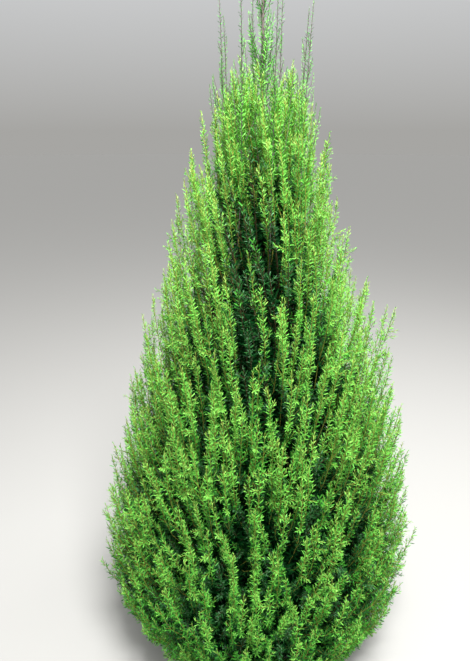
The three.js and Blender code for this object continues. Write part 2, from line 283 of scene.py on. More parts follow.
BUSHY_SPARSENESS = 0.9

# How each kind of leader grows: its radius, how many side shoots it has, and the size of its grown needles
LEADER_KINDS = {
    "outer": {"thick": 0.0026, "side_shoots": 12, "grown": 0.6},
    "ring": {"thick": 0.0016, "side_shoots": 0, "grown": 0.7},
    "middle": {"thick": 0.002, "side_shoots": 24, "grown": 0.95},
}
MIDDLE_LEADER_START = 1.5

# The heights between which shoots carry short sprays that stand out from the crown
SPRAY_HEIGHTS = (0.5, 1.5)

# The dark cleft in the front of the upper crown, where few long shoots grow, and weaker ones whose needles
# are painted darker, as painted shade. It is widest above the waist.
CLEFT_AZIMUTH = math.radians(-86)
CLEFT_HEIGHTS = [1.12, 1.22, 1.34, 1.5, 1.64]
CLEFT_HALF_WIDTHS = [math.radians(turn) for turn in (3, 10, 23, 23, 9)]
CLEFT_THINNING = 0.82
CLEFT_DEPTH = 0.08
CLEFT_VIGOUR_AND_PAINTED_SHADE = 0.5

# Needle colours from the inside of the crown to the shoot tips. The old tone is near-black: needles that are
# older, painted darker still as shade deep in the crown
TONES = ["old", "shade", "glint", "green", "bright", "fresh", "tip"]
OLD_PAINTED_SHADE, SHADE, GLINT, GREEN, BRIGHT, FRESH, TIP = range(7)
INNER_TONES = (OLD_PAINTED_SHADE, SHADE, GLINT)
INNER_LABELS = [TONES[tone] for tone in INNER_TONES]
INNER_SHINE = 0.2
OUTER_TONES = (GREEN, BRIGHT, FRESH, TIP)

# The darker tone that is mixed into each tone of the long shoots, painted shade between their needles
DARKER = {SHADE: OLD_PAINTED_SHADE, GREEN: SHADE, BRIGHT: SHADE, FRESH: GREEN, TIP: BRIGHT}

# A needle's outline: how wide each half of it is and how deep it folds, and where its two sides turn
NEEDLE_HALF = 0.75
NEEDLE_FOLD = 0.3
NEEDLE_CORNERS = (0.28, 0.72)

# Stem colours
STEM_TONES = ["brown", "orange", "purple"]
BROWN, ORANGE, PURPLE = range(3)
STEM_SIDES = 3


def number_setting(name, description, default, low, high, **kind):
    return bpy.props.FloatProperty(
        name=name, description=description, default=default, min=low, max=high, **kind
    )


def length_setting(name, description, default, low, high):
    return number_setting(name, description, default, low, high, unit="LENGTH")


def share_setting(name, description, default, high=1.0):
    return number_setting(name, description, default, 0.0, high, subtype="FACTOR")


def angle_setting(name, description, degrees):
    return bpy.props.FloatProperty(
        name=name, description=description, default=math.radians(degrees), subtype="ANGLE"
    )


def colour_setting(name, description, default):
    return bpy.props.FloatVectorProperty(
        name=name, description=description, default=default, min=0.0, max=1.0, subtype="COLOR"
    )


class YewCrownSettings(bpy.types.PropertyGroup):
    """Sizes of the shoots and needles."""

    shoot_spacing: length_setting(
        "Shoot spacing", "Distance between the tips of neighbouring long shoots", 0.059, 0.03, 0.3
    )
    inner_share: share_setting("Inner shoots", "How crowded the shaded inner shoots are", 1.0, 4.0)
    needle_length: length_setting("Needle length", "Length of a full-grown needle", 0.0165, 0.005, 0.05)
    needle_width: length_setting("Needle width", "Width of a needle at its middle", 0.0023, 0.0005, 0.01)
    needle_spacing: length_setting(
        "Needle spacing", "Distance between needles along a shoot", 0.0024, 0.001, 0.02
    )
    needle_turn: angle_setting("Needle turn", "Turn round the shoot from one needle to the next", 137.5)
    needle_twist: angle_setting(
        "Needle twist", "How far a needle may be twisted about its own length", 55
    )
    needle_unevenness: share_setting("Unevenness", "How much the needles' sizes and angles differ", 0.2)


class YewBarkSettings(bpy.types.PropertyGroup):
    """Relief and colours of the bark and the stems."""

    relief: length_setting("Relief", "Depth of the furrows at the trunk's foot", 0.0016, 0.0, 0.01)
    ridge: colour_setting("Ridge colour", "Colour of the weathered outer scales", (0.12, 0.082, 0.056))
    furrow: colour_setting(
        "Furrow colour", "Colour of the reddish bark between the scales", (0.085, 0.03, 0.016)
    )
    brown: colour_setting(
        "Older stems", "Colour of stems that are more than a year old", (0.075, 0.045, 0.022)
    )
    orange: colour_setting("Young stems", "Colour of this year's stems", (0.28, 0.27, 0.05))
    purple: colour_setting("Leader stems", "Colour of the leaders' stems", (0.12, 0.10, 0.09))
    roughness: share_setting("Roughness", "Roughness of the stems", 0.7)
    shine: share_setting("Shine", "Strength of the stems' sheen", 0.15)


class YewNeedleColours(bpy.types.PropertyGroup):
    """Needle colours, from the inside of the crown to the shoot tips."""

    # The old needles' near-black is painted shade deep inside the crown, on needles that are also older
    old: colour_setting("Old needles", "Needles deep inside the crown", (0.002, 0.026, 0.005))
    shade: colour_setting("Shaded needles", "Needles between the long shoots", (0.022, 0.105, 0.024))
    glint: colour_setting(
        "Glinting needles", "The few needles inside the crown that catch the light", (0.10, 0.22, 0.11)
    )
    green: colour_setting(
        "Grown needles", "Needles on the lower part of the long shoots", (0.055, 0.285, 0.028)
    )
    bright: colour_setting(
        "Bright needles", "Needles on the upper part of the long shoots", (0.140, 0.475, 0.058)
    )
    fresh: colour_setting(
        "Fresh needles", "This year's needles on the strongest shoots", (0.205, 0.545, 0.082)
    )
    tip: colour_setting("Tip needles", "The last needles round each bud", (0.330, 0.565, 0.105))
    roughness: share_setting("Roughness", "Roughness of every needle", 0.38)
    shine: share_setting("Shine", "Strength of the needles' sheen", 0.15)


class YewStageSettings(bpy.types.PropertyGroup):
    """Floor and light."""

    floor: colour_setting("Floor colour", "Colour of the plain floor", (0.40, 0.395, 0.38))
    sky: number_setting("Sky light", "Strength of the even light from all round", 1.05, 0.0, 10.0)
    softbox: number_setting(
        "Softbox power", "Power of the large lamp overhead", 240.0, 0.0, 5000.0, unit="POWER"
    )


def seeded(index, salt):
    """The same number from 0 to 1 each time for one index and salt."""
    value = math.sin(index * 127.1 + salt * 311.7) * 43758.5453
    return value - math.floor(value)


def even_point(k):
    """Point k of a sequence that fills a unit square evenly, however many points are taken."""
    return (0.5 + k * 0.7548776662466927) % 1, (0.5 + k * 0.5698402909980532) % 1


def mix(a, b, share):
    return a + (b - a) * share


def smooth(share):
    """Eases a share from 0 to 1, without a kink at either end."""
    kept = np.clip(share, 0.0, 1.0)
    return kept * kept * (3 - 2 * kept)


def trunk_centre(height):
    """Points of the trunk's axis at one or many heights."""
    rise = np.asarray(height, dtype=float) / HEIGHT
    swing = np.sin(rise * math.tau * SWAY_WAVES) * rise
    return np.stack([SWAY_ACROSS * swing, SWAY_ALONG * swing, rise * HEIGHT], axis=-1)


def trunk_radius(height):
    taper = mix(TRUNK_RADIUS, TRUNK_TIP_RADIUS, (height / HEIGHT) ** TRUNK_TAPER)
    return taper + FLARE_WIDTH * np.exp(-2 * height / FLARE_HEIGHT)


def crown_radius(height):
    return np.interp(height, OUTLINE_HEIGHTS, OUTLINE_RADII)


def tip_height(label):
    return mix(LOWEST_TIP, HIGHEST_TIP, label)


def growth_points(label, azimuth, share):
    """Points on growth lines: share 0 is on the trunk's axis and share 1 on the crown's outline."""
    turn = share * FINAL_TURN
    end = tip_height(label)
    out = crown_radius(end) * (np.sin(turn) / math.sin(FINAL_TURN)) ** OUT_POWER
    up = ((1 - np.cos(turn)) / (1 - math.cos(FINAL_TURN))) ** UP_POWER
    around = azimuth + SWIRL * share
    base = trunk_centre(mix(LOWEST_BASE, HIGHEST_BASE, np.maximum(label, 0.0) ** BASE_CROWDING))
    x = base[..., 0] + out * np.cos(around) + np.interp(end, LEAN_HEIGHTS, LEANS) * up
    y = base[..., 1] + out * np.sin(around)
    z = mix(base[..., 2], end, up)
    return np.stack([x, y, z], axis=-1)


def cells(tier_index):
    """The cells of one tier: where each of its masses lives."""
    tier = TIERS[tier_index]
    step = math.tau / tier["masses"]
    return [
        {
            "label": (tier["from"] + tier["to"]) / 2,
            "half_label": (tier["to"] - tier["from"]) / 2,
            "azimuth": step * i + TIER_STAGGER * tier_index,
            "half_azimuth": step / 2,
            "seed": 100 * tier_index + 10 * i,
        }
        for i in range(tier["masses"])
    ]


def unit(vectors):
    return vectors / np.linalg.norm(vectors, axis=-1, keepdims=True)


def tangents(points):
    return unit(np.gradient(points, axis=0))


def from_tip(points):
    """The distance of each point of a line from the line's tip."""
    steps = np.linalg.norm(np.diff(points, axis=0), axis=1)
    return np.append(np.cumsum(steps[::-1])[::-1], 0.0)


def cut(points, far, near, step):
    """The part of a line between two distances from its tip, in even steps."""
    distance = from_tip(points)
    far = min(far, distance[0])
    count = max(2, int(round((far - near) / step)) + 1)
    at = np.linspace(far, near, count)
    line = np.stack([np.interp(at, distance[::-1], points[::-1, i]) for i in range(3)], axis=-1)
    return line, at


def eased(near, far, within, start=0.0, scale=1.0):
    """A function of the distance from a tip that eases from one value to another."""
    return lambda at: mix(near, far, smooth((at - start) / within)) * scale


def even(value):
    """A function of the distance from a tip that keeps one value."""
    return lambda at: np.full_like(at, value)


def needle_habit(kind, scale=1.0, grown=1.0):
    """The functions for the size and the splay of the needles along one kind of shoot."""
    near, far, within = SHOOTS[kind]["size"]
    size = eased(near, far * grown, within, scale=scale)
    near, far, within = SHOOTS[kind]["splay"]
    return size, eased(math.radians(near), math.radians(far), within)


def deep_size(room):
    """The size of the needles deep in the crown, which are smaller where the crown is narrow."""
    return DEEP_SIZE * min(room + DEEP_ROOM, 1.0)


def staggered(index, count, salt):
    """The place of one of a few side shoots, from 0 to 1, at uneven distances."""
    return (index + seeded(index, salt)) / count


def above_ground(points):
    """The same line, lifted where it comes too close to the ground for its needles."""
    return np.maximum(points, [-np.inf, -np.inf, GROUND_CLEARANCE])


# A distance from the tip that is past the start of every line
WHOLE = 10.0

# How far down its parent a side shoot may stand, and how strongly it turns up
FURTHEST_SIDE = 0.9
SIDE_LIFT = 0.8


class Crown:
    """Everything that grows: needle runs and stems, gathered by piece."""

    # How far apart the points of a run of needles and of a stem are
    RUN_STEP = 0.014
    STEM_STEP = 0.075

    def __init__(self, settings):
        self.settings = settings
        self.runs = []
        self.stems = []

    def needles(self, line, far, near, tone, size, splay, sparseness=1.0):
        """Needles of one tone along part of a line. Size and splay depend on the distance from the tip."""
        if from_tip(line)[0] <= near + 1e-3:
            return
        points, at = cut(above_ground(line), far, near, self.RUN_STEP)
        spacing = sparseness * self.settings.needle_spacing
        run = {"points": points, "tone": tone, "size": size(at), "splay": splay(at), "spacing": spacing}
        self.runs.append(run)

    def mixed_needles(self, line, far, near, tone, size, splay, habit, sparseness=1.0):
        """Needles of a tone, with a share of a darker one between them, as painted shade among the needles.
        """
        sparseness *= habit["sparseness"]
        self.needles(line, far, near, tone, size, splay, sparseness / (1 - habit["darker"]))
        self.needles(line, far, near, DARKER[tone], size, splay, sparseness / habit["darker"])

    def stem(self, line, tone, thick, thin):
        """A stem along a line that tapers from one radius to the other."""
        points, at = cut(above_ground(line), WHOLE, 0.0, self.STEM_STEP)
        radii = mix(thin, thick, at / max(at[0], 1e-6))
        self.stems.append({"points": points, "tone": tone, "thickness": radii})


def side_line(line, distance, length, turn, splay, rise):
    """A side shoot's line: it leaves its parent at a distance from the tip and bends up beside it."""
    distance = min(distance, FURTHEST_SIDE * from_tip(line)[0])
    start, _ = cut(line, distance + 0.002, distance, 0.001)
    along = unit(start[-1] - start[0])
    across = unit(np.cross(along, [0.0, 0.0, 1.0]) + [1e-6, 0.0, 0.0])
    out = across * math.cos(turn) + np.cross(along, across) * math.sin(turn)
    t = np.linspace(0.0, 1.0, 6)[:, None]
    straight = along * math.cos(splay) + out * math.sin(splay)
    upright = unit(along + [0.0, 0.0, SIDE_LIFT])
    return start[-1] + length * (straight * t * (1 - rise * t / 2) + upright * (rise * t * t / 2))


def in_cleft(azimuth, height):
    off = (azimuth - CLEFT_AZIMUTH + math.pi) % math.tau - math.pi
    half_width = np.interp(height, CLEFT_HEIGHTS, CLEFT_HALF_WIDTHS, left=0.0, right=0.0)
    return abs(off) < half_width


def side_shoot(kind, parent, distance, length, turn):
    """A side shoot's line, with the lean and the rise of its kind."""
    return side_line(parent, distance, length, turn, math.radians(SHOOTS[kind]["lean"]), SHOOTS[kind]["rise"])


def grow_branches(crown, tier, cell, count, room):
    """The branches of one mass. Returns their places in it, each from -1 to 1."""
    seed = cell["seed"]
    twig_room = room * CROWDING[tier["name"]]["twigs"]

    # Branches fan out from the bough's tip, or from the trunk where there is no bough
    branches = [[(2 * c - 1) * BRANCH_SPREAD for c in even_point(b + 3)] for b in range(count)]
    start = BOUGH_END if tier["bough"] else TOP_START
    thick = tier["bough"] * BOUGH_TAPER * BRANCH_THINNING or TOP_BRANCH_RADIUS
    for b, (u, v) in enumerate(branches):
        share = np.linspace(start, BRANCH_END, 7)
        spread = smooth((share - start) / (BRANCH_END - start))
        label = cell["label"] + u * spread * cell["half_label"]
        azimuth = cell["azimuth"] + v * spread * cell["half_azimuth"]
        line = growth_points(label, azimuth, share)
        grow_branch(crown, line, thick, BRANCH_TWIGS, twig_room, seed + b * 0.53)
    if tier["bough"]:
        share = np.linspace(TRUNK_SURFACE, start, 9)
        bough = growth_points(np.full(9, cell["label"]), cell["azimuth"], share)
        grow_branch(crown, bough, thick, BOUGH_TWIGS, room, seed + 0.9)

    # Thin branches from the trunk close the seam between this mass and the next
    for b, u in enumerate((-0.5, 0.5)):
        seam_label = np.full(9, cell["label"] + u * cell["half_label"])
        share = np.linspace(TRUNK_SURFACE, BRANCH_END, 9)
        seam = growth_points(seam_label, cell["azimuth"] + cell["half_azimuth"], share)
        grow_branch(crown, seam, SEAM_BRANCH_RADIUS, SEAM_TWIGS, twig_room, seed + 0.7 + b * 0.11)
    return branches


def shoot_line(cell, branches, u, v, reach, k):
    """The line of shoot k of a mass, from the nearest branch to the shoot's own place."""
    nearest = min(branches, key=lambda b: (b[0] - u) ** 2 + (b[1] - v) ** 2)
    share = np.linspace(BRANCH_END, reach, 12)
    settled = smooth((share - BRANCH_END) / (SHOOT_SETTLED - BRANCH_END))
    label = cell["label"] + mix(nearest[0], u, settled) * cell["half_label"]
    azimuth = cell["azimuth"] + mix(nearest[1], v, settled) * cell["half_azimuth"]
    line = growth_points(label, azimuth, share)
    bend = (np.linspace(0.0, 1.0, 12) ** 2)[:, None]
    out = unit(line[-1] * [1, 1, 0])
    across = np.array([-out[1], out[0], 0.0])
    lean_out = mix(*LEAN_OUT, seeded(k, cell["seed"] + 1)) - LOW_LEAN * (1 - cell["label"])
    lean_across = mix(*LEAN_ACROSS, seeded(k, cell["seed"] + 2)) - SWIRL_RECOVERY
    return line + bend * (out * lean_out + across * lean_across)


def grow_cell(crown, tier, cell):
    """Branches, long shoots and inner shoots of one mass."""
    crowding = CROWDING[tier["name"]]
    radius = crown_radius(tip_height(cell["label"]))
    height = tip_height(tier["to"]) - tip_height(tier["from"])
    places = 2 * cell["half_azimuth"] * radius * height / crown.settings.shoot_spacing ** 2
    long_count = round(places * crowding["long"])
    total = long_count + round(places * crowding["inner"] * crown.settings.inner_share)
    branch_count = max(LEAST_BRANCHES, round(long_count / SHOOTS_PER_BRANCH))
    seed = cell["seed"]
    room = 1 - ROOM_LOST * cell["label"]
    branches = grow_branches(crown, tier, cell, branch_count, room)
    for k in range(total):
        is_long = k < long_count
        u, v = even_point(k)
        u = (1 - 2 * (1 - u) ** crowding["peak"]) * CELL_FILL
        v = (2 * v - 1) * (CELL_FILL if is_long else INNER_FILL)
        if not is_long:
            u -= crowding["sink"] * (1 - u) / 2
        azimuth_at_tip = cell["azimuth"] + v * cell["half_azimuth"] + SWIRL
        height_at_tip = tip_height(cell["label"] + u * cell["half_label"])
        reach = mix(*LONG_REACH, seeded(k, seed) ** 1.5) if is_long else mix(*INNER_REACH, seeded(k, seed))
        shaded = in_cleft(azimuth_at_tip, height_at_tip)
        if is_long and shaded and seeded(k, seed + 9) < CLEFT_THINNING:
            is_long = False
            reach -= CLEFT_DEPTH
        line = shoot_line(cell, branches, u, v, reach, k)
        if is_long:
            # Vigour rises with height and is halved in the cleft: partly growth, partly painted light high up
            # and painted shade low down and in the cleft
            low, high = VIGOUR_AND_PAINTED_LIGHT_HEIGHTS
            vigour_and_painted_light = smooth((height_at_tip - low) / (high - low)) * (CLEFT_VIGOUR_AND_PAINTED_SHADE if shaded else 1.0)
            grow_long_shoot(crown, line, vigour_and_painted_light, seed + k * 0.37)
            if SPRAY_HEIGHTS[0] < height_at_tip < SPRAY_HEIGHTS[1]:
                grow_sprays(crown, line, seed + k * 0.37)
        else:
            grow_inner_shoot(crown, line, room, seeded(k, seed + 4) < crowding["green"], seed + k * 0.37)


def grow_branch(crown, line, thick, twigs, room, seed):
    """A branch deep in the crown, with old needles painted near-black as shade, and twigs. Room is 1 where
    the crown is wide.
    """
    size, splay = even(deep_size(room)), even(DEEP_SPLAY)
    crown.stem(line, BROWN, thick, BRANCH_TIP_RADIUS)
    crown.needles(line, WHOLE, 0.0, OLD_PAINTED_SHADE, size, splay, BRANCH_SPARSENESS)
    for i in range(twigs):
        distance = mix(0.0, 0.95, staggered(i, twigs, seed)) * from_tip(line)[0]
        turn = math.tau * seeded(i, seed + 0.2)
        length = mix(*SHOOTS["twig"]["length"], seeded(i, seed + 0.3)) * room
        twig = side_shoot("twig", line, distance, length, turn)
        crown.needles(twig, WHOLE, 0.0, OLD_PAINTED_SHADE, size, splay, TWIG_SPARSENESS)
        crown.stem(twig, BROWN, *SHOOTS["twig"]["radii"])


def grow_long_shoot(crown, line, vigour_and_painted_light, seed):
    """A long upright shoot: bright round its tip, deeper green below and near-black at its foot, where the
    old needles are painted shade, with side shoots.
    """
    habit = {name: mix(*ends, vigour_and_painted_light) for name, ends in VIGOUR_AND_PAINTED_LIGHT_HABIT.items()}
    strong = seeded(1, seed) < habit["strong"]
    body = FRESH if strong and seeded(2, seed) < habit["fresh"] else BRIGHT
    if not strong and seeded(2, seed) < habit["green"]:
        body = GREEN
    stretch = habit["stretch"] * (1.0 if strong else WEAK_STRETCH)
    tip_end = mix(*TIP_PART, seeded(3, seed))
    bright_end = mix(*BRIGHT_PART, seeded(4, seed)) * stretch
    green_end = bright_end + mix(*GREEN_PART, seeded(5, seed))
    shade_end = green_end + SHADE_PART
    bud = TIP if strong and seeded(10, seed) < habit["tip"] else FRESH
    size, splay = needle_habit("long", habit["size"])
    crown.mixed_needles(line, tip_end, 0.0, bud, size, splay, habit)
    crown.mixed_needles(line, bright_end, tip_end, body, size, splay, habit)
    crown.mixed_needles(line, green_end, bright_end, GREEN, size, splay, habit, GREEN_SPARSENESS)
    crown.needles(line, shade_end, green_end, SHADE, size, splay, SHADE_SPARSENESS)
    crown.needles(line, WHOLE, shade_end, OLD_PAINTED_SHADE, even(OLD_PAINTED_SHADE_SIZE), splay, OLD_PAINTED_SHADE_SPARSENESS)
    crown.stem(line, ORANGE, *SHOOTS["long"]["radii"])

    furthest, share = SIDE_SHOOTS_TO
    reach = min(furthest, share * from_tip(line)[0])
    count = SIDE_SHOOTS + int(seeded(6, seed) * MORE_SIDE_SHOOTS)
    for i in range(count):
        distance = mix(SIDE_SHOOTS_FROM, reach, staggered(i, count, seed + 0.1) ** 1.1)
        turn = i * crown.settings.needle_turn
        grow_side_shoot(crown, line, distance, bright_end, turn, habit, seed + 1.7 * i)


def grow_side_shoot(crown, parent, distance, bright_end, turn, habit, seed):
    """A short side shoot that turns up beside its parent and has its habit."""
    grown = mix(*SIDE_GROWTH, seeded(7, seed)) * distance + SIDE_TIP
    length = min(grown, mix(*SIDE_LENGTH, seeded(6, seed)))
    lean = math.radians(mix(*SIDE_LEAN, seeded(9, seed)))
    line = side_line(parent, distance, length, turn + seeded(8, seed), lean, 1.0)
    depth = distance - SIDE_MIDDLE * length
    tones = (FRESH, TIP) if depth < FRESH_SHARE * bright_end else (BRIGHT, FRESH)
    if depth > bright_end:
        tones = (GREEN, BRIGHT)
    if depth > bright_end + SHADE_PART:
        tones = (SHADE, GREEN)
    size, splay = needle_habit("side", habit["size"])
    crown.mixed_needles(line, SIDE_TIP, 0.0, tones[1], size, splay, habit)
    crown.mixed_needles(line, WHOLE, SIDE_TIP, tones[0], size, splay, habit, SIDE_SPARSENESS)
    crown.stem(line, ORANGE, *SHOOTS["side"]["radii"])


def grow_sprays(crown, parent, seed):
    """Short bright sprays that stand out from a long shoot, away from the trunk."""
    size, splay = needle_habit("spray")
    for i in range(SPRAYS):
        if seeded(i, seed + 0.6) < SPRAY_CHANCE:
            distance = mix(*SPRAYS_FROM_TO, seeded(i, seed + 0.7))
            turn = math.radians(mix(*SPRAY_TURN, seeded(i, seed + 0.8)))
            length = mix(*SHOOTS["spray"]["length"], seeded(i, seed + 0.9))
            line = side_shoot("spray", parent, distance, length, turn)
            crown.needles(line, WHOLE, 0.0, FRESH if i else BRIGHT, size, splay)
            crown.stem(line, ORANGE, *SHOOTS["spray"]["radii"])


def grow_inner_shoot(crown, line, room, green, seed):
    """A shaded shoot between the long ones, with needles painted darker as shade, of which a few are paler as
    painted glints.
    """
    near = mix(*INNER_TIP, seeded(2, seed)) if green else 0.0
    low = line[-1][2] < LOW_HEIGHT
    size, splay = needle_habit("inner")
    slim = even(GLINT_SIZE)
    wide = even(1.0 if low else deep_size(room))
    shade_end = near + INNER_SHADE_PART
    if green:
        crown.needles(line, near, 0.0, GREEN, size, splay)
    crown.needles(line, shade_end, near, SHADE, size, splay, GREEN_SPARSENESS)
    crown.needles(line, near + GLINT_PART, near, GLINT, slim, splay, GLINT_SPARSENESS)
    crown.needles(line, WHOLE, shade_end, OLD_PAINTED_SHADE, wide, splay, INNER_OLD_PAINTED_SHADE_SPARSENESS)
    crown.stem(line, BROWN, *SHOOTS["inner"]["radii"])
    for i in range(INNER_SIDE_SHOOTS):
        distance = mix(*INNER_SIDES_FROM_TO, staggered(i, INNER_SIDE_SHOOTS, seed + 0.1))
        turn = math.tau * seeded(i, seed + 0.2)
        length = mix(*SHOOTS["inner side"]["length"], seeded(i, seed + 0.3)) * room
        side = side_shoot("inner side", line, distance, length * (LOW_SIDE_LENGTH if low else 1.0), turn)
        if low or side[-1][2] < LOW_HEIGHT:
            crown.needles(side, LOW_SIDE_TIP, 0.0, GREEN, size, splay)
            crown.needles(side, WHOLE, LOW_SIDE_TIP, SHADE, size, splay, SHADE_SPARSENESS)
        elif distance < INNER_SHADE_PART or seeded(i, seed + 0.4) < SHADED_SIDE_CHANCE:
            crown.needles(side, WHOLE, 0.0, SHADE, size, splay, SHADE_SPARSENESS)
            crown.needles(side, WHOLE, 0.0, GLINT, slim, splay, GLINT_SPARSENESS)
        else:
            crown.needles(side, WHOLE, 0.0, OLD_PAINTED_SHADE, wide, splay, INNER_SIDE_OLD_PAINTED_SHADE_SPARSENESS)
        crown.stem(side, BROWN, *SHOOTS["inner side"]["radii"])


def grow_heart(crown, tier):
    """Twigs with old needles, painted near-black as shade, straight from the part of the trunk where a tier
    starts.
    """
    low, high = [growth_points(tier[end], 0.0, 0.0)[2] for end in ("from", "to")]
    room = HEART_ROOM * (1 - ROOM_LOST * tier["to"])
    line = trunk_centre(np.linspace(low, high, 8))
    grow_branch(crown, line, TOP_BRANCH_RADIUS, HEART_TWIGS, room, 7.3 * tier["to"])


def bezier(start, knee, end, count=16):
    t = np.linspace(0.0, 1.0, count)[:, None]
    return (1 - t) ** 2 * start + 2 * t * (1 - t) * knee + t * t * end


def grow_leader(crown, line, bushy_end, kind, seed):
    """A leader: a slender stem with short needles, and a bushy foot with upright shoots."""
    habit = LEADER_KINDS[kind]
    size, splay = needle_habit("leader", grown=habit["grown"])
    full = eased(habit["grown"], 1.0, LEADER_FULL_WITHIN, start=bushy_end)
    crown.needles(line, LEADER_TIP_PART, 0.0, BRIGHT, size, splay, LEADER_TIP_SPARSENESS)
    crown.needles(line, bushy_end, LEADER_TIP_PART, GREEN, size, splay, LEADER_SPARSENESS)
    crown.needles(line, bushy_end + LEADER_FULL_PART, bushy_end, BRIGHT, full, splay, BUSHY_SPARSENESS)
    crown.stem(line, PURPLE, habit["thick"], LEADER_TIP_RADIUS)
    for i in range(habit["side_shoots"]):
        distance = bushy_end + mix(*LEADER_SIDES_FROM_TO, staggered(i, habit["side_shoots"], seed))
        room = max(distance - bushy_end + LEADER_SIDE_LEAST, LEADER_SIDE_LEAST)
        length = mix(*SHOOTS["leader side"]["length"], seeded(i, seed + 0.5)) * room
        side = side_shoot("leader side", line, distance, length, math.tau * seeded(i, seed + 0.7))
        crown.needles(side, WHOLE, 0.0, GREEN if i % 3 == 0 else BRIGHT, size, splay)
        crown.stem(side, PURPLE, *SHOOTS["leader side"]["radii"])


def leader_lines():
    """The lines of the leaders that rise from the top masses."""
    lines = []
    for cell in cells(len(TIERS) - 1):
        for k in range(LEADERS_PER_TOP_MASS):
            turn = CELL_FILL * ((2 * k + 1) / LEADERS_PER_TOP_MASS - 1)
            azimuth = cell["azimuth"] + cell["half_azimuth"] * turn
            out = np.array([math.cos(azimuth + SWIRL), math.sin(azimuth + SWIRL), 0.0])
            tip_radius = LEADER_RADIUS * mix(*LEADER_REACH, seeded(k, cell["seed"] + 5))
            height = LEADER_HEIGHT + LEADER_RANGE * (seeded(k, cell["seed"] + 6) - 0.5)
            inner = growth_points(np.full(8, cell["label"]), azimuth, np.linspace(TOP_START, LEADER_ROOT, 8))
            knee = out * tip_radius * LEADER_KNEE_RADIUS + [0, 0, inner[-1][2] + LEADER_KNEE_RISE]
            tip = out * tip_radius + [0, 0, height]
            lines.append(np.vstack([inner[:-1], bezier(inner[-1], knee, tip)]))
    return lines


def ring_lines(ring):
    """The lines of one ring of shoots round the trunk's tip."""
    lines = []
    for i in range(ring["shoots"]):
        uneven = RING_UNEVENNESS * seeded(i, ring["height"] * 1000)
        azimuth = math.tau * (i + uneven) / ring["shoots"] + RING_TURN
        out = ring["reach"] * np.array([math.cos(azimuth), math.sin(azimuth), 0.0])
        root = trunk_centre(ring["height"] + i * ring["step"])
        knee = root + out * RING_KNEE_REACH
        knee[2] = mix(ring["height"], ring["top"], RING_KNEE_HEIGHT)
        tip = trunk_centre(ring["top"] - RING_TIP_DROP * seeded(i, ring["top"] * 1000)) + out
        lines.append(bezier(root, knee, tip, 10))
    return lines


def grow_leaders(crown):
    """Leaders, ring shoots and the needles on the trunk's own tip."""
    for i, line in enumerate(leader_lines()):
        grow_leader(crown, line, line[-1][2] - BUSHY_HEIGHT, "outer", 50 + i)
    for ring in RINGS:
        for i, line in enumerate(ring_lines(ring)):
            grow_leader(crown, line, WHOLE, "ring", 70 + i)
    tip = trunk_centre(np.linspace(MIDDLE_LEADER_START, HEIGHT, 30))
    grow_leader(crown, tip, HEIGHT - MIDDLE_BUSHY_HEIGHT, "middle", 90)


class Wire:
    """One output socket of a node tree. Arithmetic on it adds Math nodes."""

    def __init__(self, graph, socket):
        self.graph = graph
        self.socket = socket

    def other(self, name):
        """Another output of the same node."""
        return Wire(self.graph, self.socket.node.outputs[name])

    def maths(self, operation, first, second):
        return self.graph.node("ShaderNodeMath", {"operation": operation}, {0: first, 1: second})

    def __add__(self, value):
        return self.maths("ADD", self, value)

    def __radd__(self, value):
        return self.maths("ADD", value, self)

    def __sub__(self, value):
        return self.maths("SUBTRACT", self, value)

    def __rsub__(self, value):
        return self.maths("SUBTRACT", value, self)

    def __mul__(self, value):
        return self.maths("MULTIPLY", self, value)

    def __rmul__(self, value):
        return self.maths("MULTIPLY", value, self)


class Graph:
    """A node tree, with one method that makes any node."""

    def __init__(self, tree):
        self.tree = tree

    def node(self, kind, settings=None, inputs=None, output=0):
        made = self.tree.nodes.new(kind)
        for name, value in (settings or {}).items():
            if name == "stops":
                self.stops(made.color_ramp, value)
            else:
                setattr(made, name, value)
        for key, value in (inputs or {}).items():
            if isinstance(value, Wire):
                self.tree.links.new(value.socket, made.inputs[key])
            else:
                made.inputs[key].default_value = value
        return Wire(self, made.outputs[output]) if made.outputs else made

    @staticmethod
    def stops(ramp, stops):
        while len(ramp.elements) < len(stops):
            ramp.elements.new(1.0)
        for element, (position, colour) in zip(ramp.elements, stops):
            element.position = position
            element.color = (*colour, 1.0)


def opaque(colour):
    return (*colour, 1.0)


def new_material(name):
    """A material with an empty node tree, and the graph that fills it."""
    material = bpy.data.materials.new(name)
    material.use_nodes = True
    material.node_tree.nodes.clear()
    return material, Graph(material.node_tree)


def surface(graph, inputs):
    shader = graph.node("ShaderNodeBsdfPrincipled", {}, inputs)
    graph.node("ShaderNodeOutputMaterial", {}, {"Surface": shader})


def plain_material(name, colour, roughness, specular):
    """An even colour that belongs to one kind of needle or stem."""
    material, graph = new_material(name)
    surface(graph, {"Base Color": opaque(colour), "Roughness": roughness, "Specular IOR Level": specular})
    return material


def height_above_ground(graph, place):
    return graph.node("ShaderNodeSeparateXYZ", {}, {"Vector": place}, "Z")


